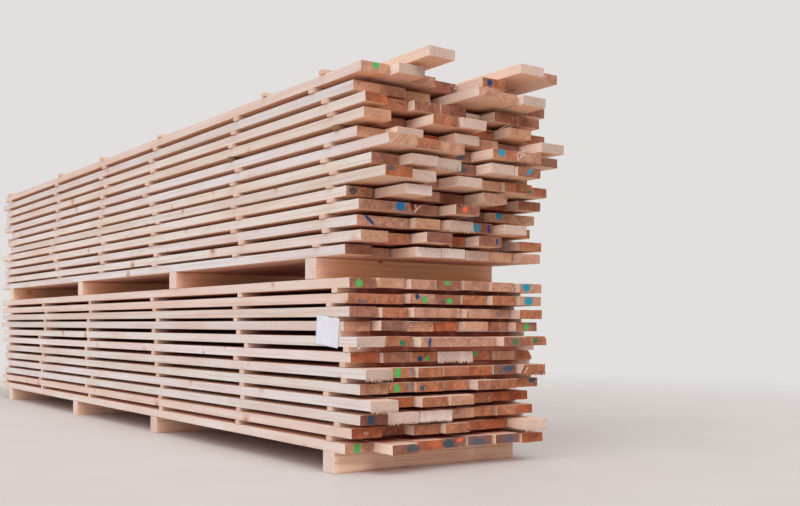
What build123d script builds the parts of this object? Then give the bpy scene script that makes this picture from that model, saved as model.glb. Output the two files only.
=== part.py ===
"""Stack of sawn lumber: two packs of boards, laid in layers with sticks between them, on square bearers.

Millimetres. X runs along the boards, with the uneven near ends at +X. Y runs across the pack, and Z is up.
The origin is under the middle of the whole stack, on the floor.
"""
from build123d import *

import os

# Boards
board_length = 6000
board_width = 150
board_thickness = 47
board_gap = 15
board_arris = 2
boards_per_layer = 7

# Sticks between the layers, from the bottom up
stick_width = 45
lower_stick_thicknesses = (24, 21, 21, 21, 23, 24, 24, 24, 18, 17, 23)
upper_stick_thicknesses = (14, 22, 21, 20, 13, 18, 21, 23, 23, 22, 23, 25)
top_stick_thickness = 20
upper_stick_overhang = 12

# Bearers
bearer_width = 100
bearer_height = 103
bearer_arris = 4
bearer_length = 1105

# Label, held against the long side of the lower pack
label_width = 200
label_thickness = 1
label_setback = 127
label_layers = 2
layers_above_label = 3


def stations(near=(), middle=(), far=()):
    """Distances from the mean near end of places given from the near end, the middle and the far end."""
    return [*near, *(board_length / 2 + place for place in middle), *(board_length - place for place in far)]


# Middles of the bearers and of the columns of sticks, along the boards
lower_bearer_stations = stations(near=(222, 2343), far=(2095, 255))
upper_bearer_stations = stations(near=(395, 2050), far=(2200, 265))
lower_stick_stations = stations(near=(170, 1146), middle=(-695, 611), far=(1226, 155))
upper_stick_stations = stations(near=(250, 1190), middle=(-633, 309), far=(1608, 207))
top_stick_stations = stations(near=(285, 861), middle=(-743, 327), far=(1694, 207))

# How far the sticks of each row stray from the first and the second column. Each later pair of columns
# takes the same strays from this many layers further up.
lower_stick_strays = (
    (52, -16, 43, 80, -75, -62, -93, -20, 0, 57, 9),
    (17, 8, -41, -30, -29, 44, -83, 12, 47, 56, -3),
)
upper_stick_strays = (
    (87, 0, 24, -43, -34, -64, 17, -14, -88, -39, 11, 131),
    (-3, -75, 17, -43, 18, -12, 32, -28, 64, 52, 22, -10),
)
stray_layers = 4

# Each layer from the bottom up: how far it is set in from the long side, how much wider than usual the gap
# between its boards is, and how far the near end of each board stands out from the mean
lower_layers = (
    (0, 0, (-80, 65, 25, -5, 0, 15, 20)),
    (3, -2, (-24, -80, -15, 15, -30, -68, 65)),
    (2, -2, (47, 26, 10, -10, -29, -29, -50)),
    (0, 0, (130, 20, 65, 65, 0, -60, -100)),
    (4, -3, (40, 15, 20, 5, 62, -5, -25)),
    (1, 0, (87, 20, 30, 15, -5, -8, 30)),
    (3, 0, (-40, -20, -27, -38, -65, -50, -58)),
    (0, 0, (20, 6, 50, 38, 20, 72, 45)),
    (0, 0, (-95, -33, -50, -72, -35, -75, -28)),
    (2, 0, (-48, -30, -5, -50, -22, -60, 4)),
    (4, 0, (-60, -70, -40, -60, -55, -20, -5)),
    (1, 0, (-50, -58, -30, -45, -40, -26, 0)),
)
upper_layers = (
    (2, -2, (-84, -178, 15, -5, -20, -32, 0)),
    (4, 0, (38, -24, 90, -24, 65, -140, -5)),
    (0, 5, (8, 35, 78, 17, 78, -82)),
    (1, 5, (27, 15, 122, -56, -30, -50)),
    (3, -4, (-84, 157, 0, -12, 120, -75, 13)),
    (0, -13, (232, 200, 20, 161, 118, 140, 83)),
    (4, -13, (117, 208, 188, 109, 212, 228, -30)),
    (2, -13, (262, 230, 211, 72, 228, 238, 193)),
    (5, -8, (-2, 90, 0, 112, 65, 45, 200)),
    (0, 0, (62, -54, 136, 142, -3, 97, 17)),
    (3, -11, (70, 10, 58, 60, -20, 85, 80)),
    (1, -13, (-25, -37, -51, 218, 177, 200, 30)),
    (0, -8, (42, 108, -20, -50, 130, -200, -190)),
)

# Boards of another width, and wider gaps beside a board, by layer and place from the long side
lower_odd_widths = {
    (2, 1): board_width + 15, (2, 5): board_width - 20,
    (3, 2): board_width + 30, (3, 3): board_width + 45, (3, 4): board_width - 10, (3, 5): board_width - 15,
    (3, 7): board_width - 50, (5, 3): board_width + 15,
    (7, 4): board_width + 75, (7, 5): board_width - 35, (7, 6): board_width - 10, (7, 7): board_width - 45,
}
upper_odd_widths = {
    (3, 1): 2 * board_width - 15, (4, 1): 2 * board_width - 15, (6, 6): board_width + 32,
    (11, 1): board_width - 29, (12, 4): board_width - 27,
}
upper_odd_gaps = {(12, 4): board_gap + 61, (12, 6): board_gap + 3}

# Loose boards on the top sticks: the gap before each one, and how far its near end stands out
top_board_gaps = (244, 386, 2)
top_board_near_ends = (218, 231, 166)

pack_width = boards_per_layer * (board_width + board_gap) - board_gap
lower_stick_length = pack_width
upper_stick_length = pack_width + 2 * upper_stick_overhang

all_near_ends = [end for _, _, near_ends in lower_layers + upper_layers for end in near_ends]
all_near_ends += top_board_near_ends
stack_middle = (max(all_near_ends) + min(all_near_ends) - board_length) / 2


def from_near_end(distance):
    """X of a point that lies this far out from the mean near end."""
    return distance - stack_middle


def finish(part, name):
    """Name a piece and write it to its file."""
    part.label = name
    export_step(part, f"parts/{name}.step")


def make_boards(name, base, widths, gaps, near_ends):
    """One layer of boards side by side: each a sawn section run along X, with slightly worn long edges."""
    side = -pack_width / 2
    with BuildPart() as boards:
        for width, gap, near_end in zip(widths, gaps, near_ends):
            side += gap
            with BuildSketch(Plane.YZ.offset(from_near_end(near_end - board_length))) as section:
                with Locations((side + width / 2, base + board_thickness / 2)):
                    Rectangle(width, board_thickness)
                chamfer(section.vertices(), board_arris)
            extrude(amount=board_length)
            side += width
    finish(boards.part, name)


def make_sticks(name, base, length, thickness, setbacks):
    """One row of sticks, laid across the boards under the next layer."""
    with BuildPart() as sticks:
        with BuildSketch(Plane.XY.offset(base)):
            with Locations(*[(from_near_end(-setback), 0) for setback in setbacks]):
                Rectangle(stick_width, length)
        extrude(amount=thickness)
    finish(sticks.part, name)


def make_bearer(name, base, setback):
    """One square bearer across the pack, level with its long side at -Y."""
    with BuildPart() as bearer:
        with BuildSketch(Plane.XZ.offset(pack_width / 2)) as section:
            with Locations((from_near_end(-setback), base + bearer_height / 2)):
                Rectangle(bearer_width, bearer_height)
            chamfer(section.vertices(), bearer_arris)
        extrude(amount=-bearer_length)
    finish(bearer.part, name)


def make_label(name, top, bottom):
    """A bare sheet of paper, flat against the long side of the pack."""
    with BuildPart() as label:
        with BuildSketch(Plane.XZ.offset(pack_width / 2)):
            with Locations((from_near_end(-label_setback), top)):
                Rectangle(label_width, top - bottom, align=(Align.MAX, Align.MAX))
        extrude(amount=label_thickness)
    finish(label.part, name)


def strayed(columns, strays, row):
    """The columns of sticks, each moved by its stray in this row. Later columns take the same strays in turn."""
    count = len(strays[0])
    return [place + strays[column % 2][(row + stray_layers * (column // 2)) % count]
            for column, place in enumerate(columns)]


def make_pack(name, base, bearers, layers, odd_widths, odd_gaps, columns, strays, thicknesses, stick_length):
    """One pack: bearers, then layers of boards with a row of sticks between every two.

    Returns the heights of the undersides of its layers, and its top.
    """
    for number, setback in enumerate(bearers, 1):
        make_bearer(f"{name}_bearer_{number}", base, setback)
    undersides = [base + bearer_height]
    for number, (set_in, extra_gap, near_ends) in enumerate(layers, 1):
        places = range(1, len(near_ends) + 1)
        widths = [odd_widths.get((number, place), board_width) for place in places]
        gaps = [set_in] + [odd_gaps.get((number, place), board_gap + extra_gap) for place in places[1:]]
        make_boards(f"{name}_layer_{number:02d}", undersides[-1], widths, gaps, near_ends)
        if number < len(layers):
            stick_base = undersides[-1] + board_thickness
            thickness = thicknesses[number - 1]
            row = strayed(columns, strays, number - 1)
            make_sticks(f"{name}_sticks_{number:02d}", stick_base, stick_length, thickness, row)
            undersides.append(stick_base + thickness)
    return undersides, undersides[-1] + board_thickness


os.makedirs("parts", exist_ok=True)

lower_undersides, lower_top = make_pack(
    "lower", 0, lower_bearer_stations, lower_layers, lower_odd_widths, {},
    lower_stick_stations, lower_stick_strays, lower_stick_thicknesses, lower_stick_length)
upper_undersides, upper_top = make_pack(
    "upper", lower_top, upper_bearer_stations, upper_layers, upper_odd_widths, upper_odd_gaps,
    upper_stick_stations, upper_stick_strays, upper_stick_thicknesses, upper_stick_length)

make_sticks("top_sticks", upper_top, upper_stick_length, top_stick_thickness, top_stick_stations)
top_board_widths = [board_width] * len(top_board_near_ends)
make_boards("top_boards", upper_top + top_stick_thickness, top_board_widths, top_board_gaps, top_board_near_ends)

label_top = lower_undersides[-layers_above_label]
make_label("paper_label", label_top, lower_undersides[-layers_above_label - label_layers])
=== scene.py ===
"""Dresses a stack of sawn lumber: two packs of boards with sticks between the layers, on square bearers.

Metres. X runs along the boards, with the uneven near ends at +X. Y runs across the pack, and Z is up.
Every board, stick and bearer takes its place and size from its own solid in the frame.
"""

import logging
import math
import random
from dataclasses import dataclass, field
from enum import Enum
from typing import Dict, List, Optional, Sequence, Tuple, Union

import bmesh
import bpy
from mathutils import Matrix, Vector, noise

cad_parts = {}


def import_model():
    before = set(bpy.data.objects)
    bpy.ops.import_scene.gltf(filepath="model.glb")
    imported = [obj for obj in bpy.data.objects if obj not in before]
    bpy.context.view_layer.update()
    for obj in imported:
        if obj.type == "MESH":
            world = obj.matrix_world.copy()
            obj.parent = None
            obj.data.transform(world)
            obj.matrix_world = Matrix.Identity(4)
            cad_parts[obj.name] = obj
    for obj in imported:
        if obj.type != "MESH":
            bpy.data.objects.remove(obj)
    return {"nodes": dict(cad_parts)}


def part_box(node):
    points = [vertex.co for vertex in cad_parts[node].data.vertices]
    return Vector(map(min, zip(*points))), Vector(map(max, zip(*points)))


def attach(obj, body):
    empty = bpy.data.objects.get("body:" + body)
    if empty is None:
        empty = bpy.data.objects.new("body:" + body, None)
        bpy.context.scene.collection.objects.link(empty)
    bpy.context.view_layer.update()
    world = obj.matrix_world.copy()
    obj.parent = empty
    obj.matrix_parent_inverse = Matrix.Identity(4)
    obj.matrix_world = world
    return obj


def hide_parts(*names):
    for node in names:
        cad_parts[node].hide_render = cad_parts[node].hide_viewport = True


log = logging.getLogger("lumber")

Colour = Tuple[float, float, float, float]
Socket = bpy.types.NodeSocket
Key = Union[int, str]
Value = Union[Socket, float, Sequence[float]]
Span = Tuple[float, float]

MILLIMETRE = 0.001
DOUBLE_DISTANCE = 0.01 * MILLIMETRE

# The material slots of the long faces and of the ends
SIDE_SLOT = 0
END_SLOT = 1


def linear(red: int, green: int, blue: int) -> Colour:
    """Turn a colour as seen on a screen into the linear one that shaders take.

    Args:
        red: Its red channel, from 0 to 255.
        green: Its green channel.
        blue: Its blue channel.

    Returns:
        The linear colour.
    """
    shares = [channel / 255 for channel in (red, green, blue)]
    curved = [share / 12.92 if share <= 0.04045 else ((share + 0.055) / 1.055) ** 2.4 for share in shares]
    return curved[0], curved[1], curved[2], 1.0


def add_object(name: str, data: bpy.types.ID) -> bpy.types.Object:
    """Put an object into the scene, at the origin.

    Args:
        name: The object's name.
        data: Its mesh, lamp or camera.

    Returns:
        The object.
    """
    made = bpy.data.objects.new(name, data)
    bpy.context.scene.collection.objects.link(made)
    return made


BACKGROUND = linear(226, 223, 222)


class EndFinish(Enum):
    """How the near end of a board looks: the letter that stands for it in the table of layers."""

    WHITE = "W"
    PALE = "P"
    LIGHT = "L"
    TAN = "T"
    ORANGE = "O"
    RED = "R"
    BROWN = "B"
    DARK = "D"
    GREY = "G"


END_COLOURS: Dict[EndFinish, Colour] = {
    EndFinish.WHITE: linear(240, 224, 216),
    EndFinish.PALE: linear(208, 185, 172),
    EndFinish.LIGHT: linear(215, 167, 136),
    EndFinish.TAN: linear(209, 160, 136),
    EndFinish.ORANGE: linear(197, 128, 94),
    EndFinish.RED: linear(198, 104, 63),
    EndFinish.BROWN: linear(167, 117, 100),
    EndFinish.DARK: linear(132, 94, 80),
    EndFinish.GREY: linear(134, 105, 97),
}

# How weathered each finish is, from 0 to 1
END_WEAR: Dict[EndFinish, float] = {
    EndFinish.WHITE: 0.0, EndFinish.PALE: 0.08, EndFinish.LIGHT: 0.35, EndFinish.TAN: 0.5,
    EndFinish.ORANGE: 0.7, EndFinish.RED: 0.8, EndFinish.BROWN: 0.9, EndFinish.DARK: 1.0,
    EndFinish.GREY: 1.0,
}


class Paint(Enum):
    """The colours of the generic marks that graders leave on board ends."""

    GREEN = linear(84, 178, 92)
    DARK_GREEN = linear(36, 118, 88)
    BLUE = linear(10, 138, 200)
    NAVY = linear(0, 66, 118)
    TEAL = linear(16, 146, 174)
    SLATE = linear(46, 78, 94)
    ORANGE = linear(240, 104, 62)
    VIOLET = linear(64, 52, 132)
    DUSK = linear(58, 84, 108)


@dataclass(frozen=True)
class Mark:
    """One paint mark on the near end of a board.

    Across and up are shares of the board's width and thickness. Width and height are in millimetres, tilt
    in degrees, and strength is 1 for fresh paint and less for a faded smear.
    """

    layer: str
    board: int
    paint: Paint
    across: float
    up: float
    width: float
    height: float
    tilt: float = 0.0
    strength: float = 0.95


MARKS: Tuple[Mark, ...] = (
    Mark("lower_layer_12", 1, Paint.GREEN, 0.36, 0.45, 38, 36),
    Mark("lower_layer_12", 4, Paint.GREEN, 0.45, 0.78, 40, 24, strength=0.7),
    Mark("lower_layer_12", 7, Paint.TEAL, 0.30, 0.50, 46, 44),
    Mark("lower_layer_11", 1, Paint.SLATE, 0.50, 0.18, 54, 18, strength=0.6),
    Mark("lower_layer_11", 3, Paint.NAVY, 0.28, 0.74, 27, 28),
    Mark("lower_layer_11", 3, Paint.GREEN, 0.60, 0.48, 28, 36),
    Mark("lower_layer_11", 4, Paint.GREEN, 0.58, 0.40, 34, 28),
    Mark("lower_layer_11", 4, Paint.SLATE, 0.30, 0.30, 40, 16, strength=0.6),
    Mark("lower_layer_11", 7, Paint.TEAL, 0.42, 0.56, 52, 44),
    Mark("lower_layer_10", 6, Paint.SLATE, 0.55, 0.45, 60, 26, strength=0.45),
    Mark("lower_layer_09", 7, Paint.GREEN, 0.50, 0.52, 36, 40),
    Mark("lower_layer_08", 2, Paint.DARK_GREEN, 0.62, 0.38, 32, 28),
    Mark("lower_layer_08", 3, Paint.NAVY, 0.36, 0.50, 15, 50, tilt=-10),
    Mark("lower_layer_08", 6, Paint.DARK_GREEN, 0.52, 0.42, 36, 32, strength=0.75),
    Mark("lower_layer_08", 7, Paint.DARK_GREEN, 0.42, 0.52, 28, 30),
    Mark("lower_layer_07", 3, Paint.NAVY, 0.35, 0.28, 30, 26),
    Mark("lower_layer_07", 3, Paint.GREEN, 0.62, 0.26, 28, 24),
    Mark("lower_layer_07", 5, Paint.GREEN, 0.14, 0.74, 28, 30),
    Mark("lower_layer_06", 2, Paint.GREEN, 0.38, 0.48, 38, 46),
    Mark("lower_layer_06", 2, Paint.TEAL, 0.88, 0.40, 12, 32, strength=0.7),
    Mark("lower_layer_06", 6, Paint.DUSK, 0.66, 0.58, 84, 28, tilt=8, strength=0.8),
    Mark("lower_layer_05", 2, Paint.GREEN, 0.38, 0.42, 34, 40),
    Mark("lower_layer_05", 2, Paint.TEAL, 0.86, 0.56, 13, 34, strength=0.7),
    Mark("lower_layer_05", 3, Paint.SLATE, 0.22, 0.42, 26, 28, strength=0.8),
    Mark("lower_layer_05", 7, Paint.DUSK, 0.74, 0.72, 46, 26, strength=0.85),
    Mark("lower_layer_03", 1, Paint.DUSK, 0.38, 0.45, 38, 48, strength=0.88),
    Mark("lower_layer_01", 1, Paint.GREEN, 0.45, 0.45, 36, 50),
    Mark("lower_layer_01", 2, Paint.SLATE, 0.72, 0.52, 66, 30, strength=0.75),
    Mark("lower_layer_01", 4, Paint.SLATE, 0.34, 0.45, 60, 42, strength=0.8),
    Mark("lower_layer_01", 4, Paint.ORANGE, 0.78, 0.72, 40, 14, tilt=12, strength=0.9),
    Mark("lower_layer_01", 5, Paint.DUSK, 0.45, 0.45, 110, 34, strength=0.65),
    Mark("lower_layer_01", 6, Paint.DUSK, 0.52, 0.50, 92, 30, strength=0.55),
    Mark("upper_layer_13", 1, Paint.GREEN, 0.52, 0.70, 36, 30),
    Mark("upper_layer_13", 5, Paint.NAVY, 0.30, 0.52, 30, 30),
    Mark("upper_layer_10", 5, Paint.ORANGE, 0.30, 0.50, 28, 20),
    Mark("upper_layer_08", 4, Paint.SLATE, 0.55, 0.45, 60, 34, strength=0.7),
    Mark("upper_layer_08", 5, Paint.TEAL, 0.36, 0.62, 38, 38),
    Mark("upper_layer_07", 4, Paint.SLATE, 0.35, 0.50, 70, 38, strength=0.75),
    Mark("upper_layer_07", 6, Paint.TEAL, 0.52, 0.50, 58, 15, tilt=42, strength=0.9),
    Mark("upper_layer_06", 1, Paint.SLATE, 0.22, 0.66, 36, 22, strength=0.7),
    Mark("upper_layer_06", 6, Paint.DARK_GREEN, 0.90, 0.22, 30, 20, strength=0.8),
    Mark("upper_layer_05", 1, Paint.SLATE, 0.26, 0.60, 44, 34, strength=0.7),
    Mark("upper_layer_04", 1, Paint.BLUE, 0.80, 0.60, 48, 46),
    Mark("upper_layer_04", 3, Paint.ORANGE, 0.38, 0.50, 28, 26),
    Mark("upper_layer_04", 4, Paint.TEAL, 0.40, 0.50, 56, 38, strength=0.5),
    Mark("upper_layer_04", 5, Paint.TEAL, 0.40, 0.62, 44, 38),
    Mark("upper_layer_03", 1, Paint.NAVY, 0.24, 0.52, 74, 17, tilt=-38),
    Mark("upper_layer_03", 4, Paint.TEAL, 0.32, 0.50, 50, 40, strength=0.7),
    Mark("upper_layer_03", 4, Paint.VIOLET, 0.84, 0.50, 18, 42),
    Mark("upper_layer_02", 5, Paint.NAVY, 0.78, 0.60, 17, 28),
)

# The finish of each near end, from the long side across, one letter for each board
NEAR_ENDS: Dict[str, str] = {
    "lower_layer_01": "TDRGGGR", "lower_layer_02": "RBOORRP", "lower_layer_03": "GPWLOOR",
    "lower_layer_04": "PROTORR", "lower_layer_05": "TOOOBOO", "lower_layer_06": "POOORGO",
    "lower_layer_07": "RBOWOLO", "lower_layer_08": "POTTTBO", "lower_layer_09": "LGLRLBB",
    "lower_layer_10": "BOTTTTO", "lower_layer_11": "OOTBOOT", "lower_layer_12": "BLTBTTT",
    "upper_layer_01": "BLWWPLT", "upper_layer_02": "LOGRBTO", "upper_layer_03": "TLPGPO",
    "upper_layer_04": "TBBGTT", "upper_layer_05": "LWTBTRB", "upper_layer_06": "RPTPLOO",
    "upper_layer_07": "TPPGPBT", "upper_layer_08": "LOTDOTG", "upper_layer_09": "LPRPTGP",
    "upper_layer_10": "LBOPOLB", "upper_layer_11": "ROBBWBB", "upper_layer_12": "LTLTLPB",
    "upper_layer_13": "LPTBOOT", "top_boards": "PPT",
}

# Layers with open air above or below most of their boards, which get no painted shade inside the pack
OPEN_LAYERS: Tuple[str, ...] = ("upper_layer_01", "upper_layer_13", "top_boards")

# Boards whose lower edge was torn by the saw at the near end, by layer and place
TORN_ENDS: Tuple[Tuple[str, int], ...] = (
    ("lower_layer_07", 4), ("lower_layer_06", 1), ("lower_layer_04", 1),
    ("lower_layer_03", 2), ("lower_layer_03", 3), ("lower_layer_02", 7), ("upper_layer_03", 3),
    ("upper_layer_08", 6), ("lower_layer_06", 7), ("upper_layer_07", 3),
)

# Boards of peach-coloured wood, by layer and place
PEACH_TINT: Colour = (0.99, 0.88, 0.83, 1.0)
PEACH_BOARDS: Tuple[Tuple[str, int], ...] = (
    ("lower_layer_02", 1), ("lower_layer_11", 1), ("lower_layer_12", 1), ("upper_layer_13", 1),
)

# Corners broken off near ends, in millimetres: how far along, across and down, by layer and place
CHIPS: Dict[Tuple[str, int], Tuple[float, float, float]] = {
    ("upper_layer_08", 1): (14, 48, 60), ("lower_layer_07", 7): (26, -26, 34),
    ("upper_layer_13", 4): (60, -40, -60), ("lower_layer_08", 7): (22, -34, 26),
    ("upper_layer_04", 2): (26, 26, 44), ("lower_layer_02", 1): (20, -30, 20),
    ("upper_layer_08", 6): (22, 22, 20), ("lower_layer_06", 7): (22, 26, -34),
    ("upper_layer_11", 6): (30, -30, 30),
}


@dataclass(frozen=True)
class Splinter:
    """One loose sliver at a near end.

    Root and tip are given as millimetres out from the end, and as shares of the board's width and thickness.
    """

    layer: str
    board: int
    root: Tuple[float, float, float]
    tip: Tuple[float, float, float]
    half_width: float


SPLINTERS: Tuple[Splinter, ...] = (
    Splinter("upper_layer_08", 1, (-5, 0.05, 0.06), (-1, 0.36, 0.97), 3.4),
    Splinter("upper_layer_10", 6, (-85, 0.03, 0.95), (-2, 0.03, 1.36), 6.0),
    Splinter("upper_layer_10", 6, (-60, 0.06, 0.96), (-6, 0.16, 1.16), 4.5),
    Splinter("upper_layer_04", 2, (-5, 0.06, 0.15), (5, 0.30, 0.92), 5.5),
    Splinter("upper_layer_04", 2, (-5, 0.17, 0.45), (5, 0.05, 0.96), 5.0),
    Splinter("upper_layer_03", 1, (-3, 0.70, 0.70), (3, 0.79, 0.97), 2.8),
    Splinter("upper_layer_02", 3, (-6, 0.93, 0.02), (-2, 0.99, -0.55), 0.9),
    Splinter("upper_layer_02", 3, (-6, 0.86, 0.02), (0, 0.93, -0.42), 0.8),
    Splinter("upper_layer_08", 6, (-4, 0.10, 0.55), (5, 0.20, 1.06), 3.0),
    Splinter("upper_layer_08", 6, (-4, 0.16, 0.62), (3, 0.42, 0.50), 2.4),
    Splinter("lower_layer_12", 2, (-3, 0.72, 0.42), (2, 0.95, 0.92), 1.5),
    Splinter("lower_layer_12", 2, (-3, 0.78, 0.20), (2, 0.97, 0.60), 1.4),
    Splinter("lower_layer_06", 7, (-5, 0.06, 0.10), (5, 0.16, 0.70), 3.4),
    Splinter("lower_layer_04", 5, (-4, 0.82, 0.25), (3, 0.96, 0.80), 2.2),
    Splinter("lower_layer_05", 2, (-4, 0.10, 0.20), (3, 0.16, 0.85), 2.0),
)


@dataclass(frozen=True)
class FrayedPatch:
    """A patch of short slivers on a near end.

    Across and up are shares of the board's width and thickness, and the spread is in millimetres.
    """

    layer: str
    board: int
    across: float
    up: float
    spread: float
    slivers: int


FRAYED_PATCHES: Tuple[FrayedPatch, ...] = (
    FrayedPatch("lower_layer_02", 1, 0.48, 0.52, 24, 12),
    FrayedPatch("lower_layer_08", 1, 0.08, 0.04, 16, 6),
    FrayedPatch("lower_layer_09", 3, 0.14, 0.62, 18, 8),
    FrayedPatch("lower_layer_09", 3, 0.93, 0.45, 12, 6),
    FrayedPatch("upper_layer_03", 1, 0.89, 0.35, 20, 8),
    FrayedPatch("upper_layer_08", 6, 0.10, 0.35, 20, 10),
    FrayedPatch("upper_layer_08", 6, 0.16, 0.75, 24, 10),
    FrayedPatch("lower_layer_06", 7, 0.08, 0.45, 16, 7),
    FrayedPatch("lower_layer_12", 2, 0.90, 0.55, 14, 5),
    FrayedPatch("upper_layer_13", 4, 0.85, 0.55, 16, 6),
    FrayedPatch("upper_layer_05", 5, 0.93, 0.40, 14, 6),
    FrayedPatch("upper_layer_11", 3, 0.50, 0.85, 20, 5),
)


@dataclass(frozen=True)
class RoughStretch:
    """A rough stretch of a layer's long side, in millimetres behind the near end of its board."""

    layer: str
    start: float
    end: float
    slivers: int


ROUGH_SIDES: Tuple[RoughStretch, ...] = (
    RoughStretch("lower_layer_06", 900, 3300, 110),
    RoughStretch("lower_layer_05", 150, 700, 16),
    RoughStretch("upper_layer_02", 1700, 2600, 14),
    RoughStretch("upper_layer_05", 1500, 2400, 10),
    RoughStretch("lower_layer_04", 1200, 2400, 16),
    RoughStretch("lower_layer_08", 1000, 2600, 12),
    RoughStretch("upper_layer_01", 1500, 2300, 16),
    RoughStretch("upper_layer_09", 600, 1300, 8),
    RoughStretch("lower_layer_02", 2500, 4200, 14),
)

# Sticks of dark, barky wood, by row and place from the far end
BARK_TINT: Colour = (0.36, 0.24, 0.17, 1.0)
DARK_STICKS: Tuple[Tuple[str, int], ...] = (
    ("upper_sticks_09", 6), ("upper_sticks_09", 5), ("lower_sticks_04", 3),
)

# Where the shade inside the stack starts and ends, measured from its middle across and along
SHADE_ACROSS = (0.42, 0.53)
SHADE_ALONG = (2.85, 2.99)

# The distances from the middle across between which the long side of the stack begins
LONG_SIDE = (0.54, 0.56)

# How far a face turns to an axis before it starts and ends to count as facing that way
TOWARDS = (0.4, 0.9)
AWAY = (-0.4, -0.9)

# Between which values the seed of a piece lies along the grain and across it
SEED_ALONG = (0.0, 90.0)
SEED_ACROSS = (0.0, 9.0)

# A board's near end has up to this many marks, which are numbered
MARK_NUMBERS = (1, 2)


@dataclass(frozen=True)
class Box:
    """The lowest and highest corners of one solid, in metres."""

    low: Vector
    high: Vector

    @property
    def size(self) -> Vector:
        """The length of each side."""
        return self.high - self.low

    @property
    def middle(self) -> Vector:
        """The centre."""
        return (self.low + self.high) / 2


def solid_boxes(node: bpy.types.Object, axis: int) -> List[Box]:
    """Find the separate solids in a node of the frame.

    Args:
        node: The node's object, which is left as it is.
        axis: The axis along which the boxes are put in order.

    Returns:
        One box for each solid.
    """
    copy = bmesh.new()
    copy.from_mesh(node.data)
    bmesh.ops.remove_doubles(copy, verts=copy.verts, dist=DOUBLE_DISTANCE)
    left = set(copy.verts)
    boxes: List[Box] = []
    while left:
        start = left.pop()
        found = [start]
        rim = [start]
        while rim:
            vertex = rim.pop()
            for edge in vertex.link_edges:
                other = edge.other_vert(vertex)
                if other in left:
                    left.remove(other)
                    found.append(other)
                    rim.append(other)
        low = Vector(min(v.co[i] for v in found) for i in range(3))
        high = Vector(max(v.co[i] for v in found) for i in range(3))
        boxes.append(Box(low, high))
    copy.free()
    return sorted(boxes, key=lambda box: box.low[axis])


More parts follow.
